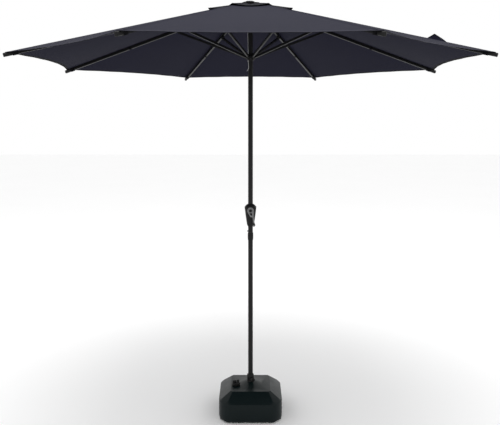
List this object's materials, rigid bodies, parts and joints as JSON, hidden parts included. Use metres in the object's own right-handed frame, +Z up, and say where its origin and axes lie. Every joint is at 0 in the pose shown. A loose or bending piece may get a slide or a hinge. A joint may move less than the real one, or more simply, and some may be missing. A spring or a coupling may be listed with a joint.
{
  "type": "patio umbrella",
  "caption": "Centre-pole patio umbrella with a vented cloth canopy on folding metal ribs, a crank lift on the pole and a fillable plastic base.",
  "frame": {"origin": "centre of the base tank's underside, on the pole's axis", "axes": "+Z up along the pole; -Y is the front, where the crank is; +X is to the right seen from the front"},
  "size_m": [2.6318, 2.6318, 2.576],
  "materials": {
    "canopy_cloth": "dark slate-navy woven polyester cloth, matt",
    "webbing": "black woven tape",
    "pole_coat": "black powder coat, satin",
    "rib_coat": "dark grey powder coat, satin",
    "black_plastic": "black moulded plastic, fine grain",
    "grey_plastic": "mid-grey moulded plastic, matt",
    "tank_plastic": "dark blue-green black blow-moulded plastic, semi-gloss",
    "bare_steel": "zinc-plated steel, satin",
    "seal_rubber": "black rubber",
    "grey_cord": "light grey braided cord"
  },
  "bodies": {
    "base": {"base_tank": "tank_plastic", "pole_socket": "black_plastic"},
    "pole": {"lower_pole": "pole_coat", "pole_foot": "black_plastic", "joint_ferrule": "black_plastic", "joint_spigot": "bare_steel", "upper_pole": "pole_coat", "housing_front": "black_plastic", "housing_back": "black_plastic", "housing_screw_left": "bare_steel", "housing_screw_right": "bare_steel", "brake_spring": "bare_steel", "top_hub": "black_plastic", "finial": "black_plastic", "vent_cap": "canopy_cloth", "lift_cord": "grey_cord"},
    "clamp": {"clamp_knob": "black_plastic"},
    "seal": {"cap_seal": "seal_rubber"},
    "cap": {"filler_cap": "black_plastic"},
    "button": {"snap_button": "bare_steel"},
    "crank": {"crank_axle": "bare_steel", "crank_arm": "grey_plastic"},
    "grip": {"crank_grip": "black_plastic"},
    "pulley": {"pulley": "bare_steel"},
    "runner": {"runner": "black_plastic", "cord_knot": "grey_cord", "cord_tail": "grey_cord"},
    "rib_1": {"rib_1": "rib_coat", "tip_cap_1": "black_plastic", "canopy_1": "canopy_cloth"},
    "strut_1": {"strut_1": "rib_coat"},
    "rib_2": {"rib_2": "rib_coat", "tip_cap_2": "black_plastic", "canopy_2": "canopy_cloth"},
    "strut_2": {"strut_2": "rib_coat"},
    "rib_3": {"rib_3": "rib_coat", "tip_cap_3": "black_plastic", "canopy_3": "canopy_cloth"},
    "strut_3": {"strut_3": "rib_coat"},
    "rib_4": {"rib_4": "rib_coat", "tip_cap_4": "black_plastic", "canopy_4": "canopy_cloth"},
    "strut_4": {"strut_4": "rib_coat"},
    "rib_5": {"rib_5": "rib_coat", "tip_cap_5": "black_plastic", "canopy_5": "canopy_cloth"},
    "strut_5": {"strut_5": "rib_coat"},
    "rib_6": {"rib_6": "rib_coat", "tip_cap_6": "black_plastic", "canopy_6": "canopy_cloth"},
    "strut_6": {"strut_6": "rib_coat"},
    "rib_7": {"rib_7": "rib_coat", "tip_cap_7": "black_plastic", "canopy_7": "canopy_cloth"},
    "strut_7": {"strut_7": "rib_coat"},
    "rib_8": {"rib_8": "rib_coat", "tip_cap_8": "black_plastic", "canopy_8": "canopy_cloth", "tie_strap": "webbing"},
    "strut_8": {"strut_8": "rib_coat"}
  },
  "joints": [
    {"name": "pole_lift", "type": "slide", "parent": "base", "child": "pole", "axis": [0, 0, 1], "range_m": [0, 0.3]},
    {"name": "clamp_turn", "type": "hinge", "parent": "base", "child": "clamp", "pos_m": [0, 0, 0.205], "axis": [0.4226, -0.9063, 0], "continuous": true},
    {"name": "cap_lift", "type": "slide", "parent": "base", "child": "seal", "axis": [0, 0, 1], "range_m": [0, 0.06]},
    {"name": "cap_turn", "type": "hinge", "parent": "seal", "child": "cap", "pos_m": [-0.092, -0.03, 0.178], "axis": [0, 0, 1], "continuous": true},
    {"name": "button_press", "type": "slide", "parent": "pole", "child": "button", "axis": [1, 0, 0], "range_m": [0, 0.0045], "stiffness_N_per_m": 800, "springref_m": -0.003},
    {"name": "rib_fold_1", "type": "hinge", "parent": "pole", "child": "rib_1", "pos_m": [0.04158, 0.01722, 2.549], "axis": [-0.3827, 0.9239, 0], "range_deg": [0, 70.17], "deforming": ["canopy_1", "vent_cap"]},
    {"name": "rib_fold_2", "type": "hinge", "parent": "pole", "child": "rib_2", "pos_m": [0.01722, 0.04158, 2.549], "axis": [-0.9239, 0.3827, 0], "range_deg": [0, 70.18], "deforming": ["canopy_2"]},
    {"name": "rib_fold_3", "type": "hinge", "parent": "pole", "child": "rib_3", "pos_m": [-0.01722, 0.04158, 2.549], "axis": [-0.9239, -0.3827, 0], "range_deg": [0, 70.18], "deforming": ["canopy_3"]},
    {"name": "rib_fold_4", "type": "hinge", "parent": "pole", "child": "rib_4", "pos_m": [-0.04158, 0.01722, 2.549], "axis": [-0.3827, -0.9239, 0], "range_deg": [0, 70.18], "deforming": ["canopy_4"]},
    {"name": "rib_fold_5", "type": "hinge", "parent": "pole", "child": "rib_5", "pos_m": [-0.04158, -0.01722, 2.549], "axis": [0.3827, -0.9239, 0], "range_deg": [0, 70.18], "deforming": ["canopy_5"]},
    {"name": "rib_fold_6", "type": "hinge", "parent": "pole", "child": "rib_6", "pos_m": [-0.01722, -0.04158, 2.549], "axis": [0.9239, -0.3827, 0], "range_deg": [0, 70.18], "deforming": ["canopy_6"]},
    {"name": "rib_fold_7", "type": "hinge", "parent": "pole", "child": "rib_7", "pos_m": [0.01722, -0.04158, 2.549], "axis": [0.9239, 0.3827, 0], "range_deg": [0, 70.18], "deforming": ["canopy_7"]},
    {"name": "rib_fold_8", "type": "hinge", "parent": "pole", "child": "rib_8", "pos_m": [0.04158, -0.01722, 2.549], "axis": [0.3827, 0.9239, 0], "range_deg": [0, 70.18], "deforming": ["canopy_8"]},
    {"name": "strut_fold_1", "type": "hinge", "parent": "rib_1", "child": "strut_1", "pos_m": [0.46155, 0.19118, 2.41004], "axis": [-0.3827, 0.9239, 0], "range_deg": [-134.75, 0]},
    {"name": "strut_fold_2", "type": "hinge", "parent": "rib_2", "child": "strut_2", "pos_m": [0.19118, 0.46155, 2.41004], "axis": [-0.9239, 0.3827, 0], "range_deg": [-134.75, 0]},
    {"name": "strut_fold_3", "type": "hinge", "parent": "rib_3", "child": "strut_3", "pos_m": [-0.19118, 0.46155, 2.41004], "axis": [-0.9239, -0.3827, 0], "range_deg": [-134.75, 0]},
    {"name": "strut_fold_4", "type": "hinge", "parent": "rib_4", "child": "strut_4", "pos_m": [-0.46155, 0.19118, 2.41004], "axis": [-0.3827, -0.9239, 0], "range_deg": [-134.75, 0]},
    {"name": "strut_fold_5", "type": "hinge", "parent": "rib_5", "child": "strut_5", "pos_m": [-0.46155, -0.19118, 2.41004], "axis": [0.3827, -0.9239, 0], "range_deg": [-134.75, 0]},
    {"name": "strut_fold_6", "type": "hinge", "parent": "rib_6", "child": "strut_6", "pos_m": [-0.19118, -0.46155, 2.41004], "axis": [0.9239, -0.3827, 0], "range_deg": [-134.75, 0]},
    {"name": "strut_fold_7", "type": "hinge", "parent": "rib_7", "child": "strut_7", "pos_m": [0.19118, -0.46155, 2.41004], "axis": [0.9239, 0.3827, 0], "range_deg": [-134.75, 0]},
    {"name": "strut_fold_8", "type": "hinge", "parent": "rib_8", "child": "strut_8", "pos_m": [0.46155, -0.19118, 2.41004], "axis": [0.3827, 0.9239, 0], "range_deg": [-134.75, 0]},
    {"name": "runner_slide", "type": "slide", "parent": "pole", "child": "runner", "axis": [0, 0, -1], "range_m": [0, 0.6593], "deforming": ["lift_cord"]},
    {"name": "crank_spin", "type": "hinge", "parent": "pole", "child": "crank", "pos_m": [0, 0, 1.28], "axis": [0, 1, 0], "continuous": true},
    {"name": "grip_spin", "type": "hinge", "parent": "crank", "child": "grip", "pos_m": [0.021, -0.0415, 1.196], "axis": [0, 1, 0], "continuous": true},
    {"name": "pulley_spin", "type": "hinge", "parent": "pole", "child": "pulley", "pos_m": [-0.0105, 0, 2.508], "axis": [0, 1, 0], "continuous": true}
  ],
  "couplings": [
    {"joint": "rib_fold_2", "follows": "rib_fold_1", "ratio": 1},
    {"joint": "rib_fold_3", "follows": "rib_fold_1", "ratio": 1},
    {"joint": "rib_fold_4", "follows": "rib_fold_1", "ratio": 1},
    {"joint": "rib_fold_5", "follows": "rib_fold_1", "ratio": 1},
    {"joint": "rib_fold_6", "follows": "rib_fold_1", "ratio": 1},
    {"joint": "rib_fold_7", "follows": "rib_fold_1", "ratio": 1},
    {"joint": "rib_fold_8", "follows": "rib_fold_1", "ratio": 1},
    {"joint": "strut_fold_1", "follows": "rib_fold_1", "ratio": -1.92},
    {"joint": "strut_fold_2", "follows": "rib_fold_1", "ratio": -1.92},
    {"joint": "strut_fold_3", "follows": "rib_fold_1", "ratio": -1.92},
    {"joint": "strut_fold_4", "follows": "rib_fold_1", "ratio": -1.92},
    {"joint": "strut_fold_5", "follows": "rib_fold_1", "ratio": -1.92},
    {"joint": "strut_fold_6", "follows": "rib_fold_1", "ratio": -1.92},
    {"joint": "strut_fold_7", "follows": "rib_fold_1", "ratio": -1.92},
    {"joint": "strut_fold_8", "follows": "rib_fold_1", "ratio": -1.92},
    {"joint": "runner_slide", "follows": "rib_fold_1", "m_per_rad": 0.53826},
    {"joint": "crank_spin", "follows": "rib_fold_1", "ratio": 53.867},
    {"joint": "pulley_spin", "follows": "rib_fold_1", "ratio": -57.878}
  ]
}
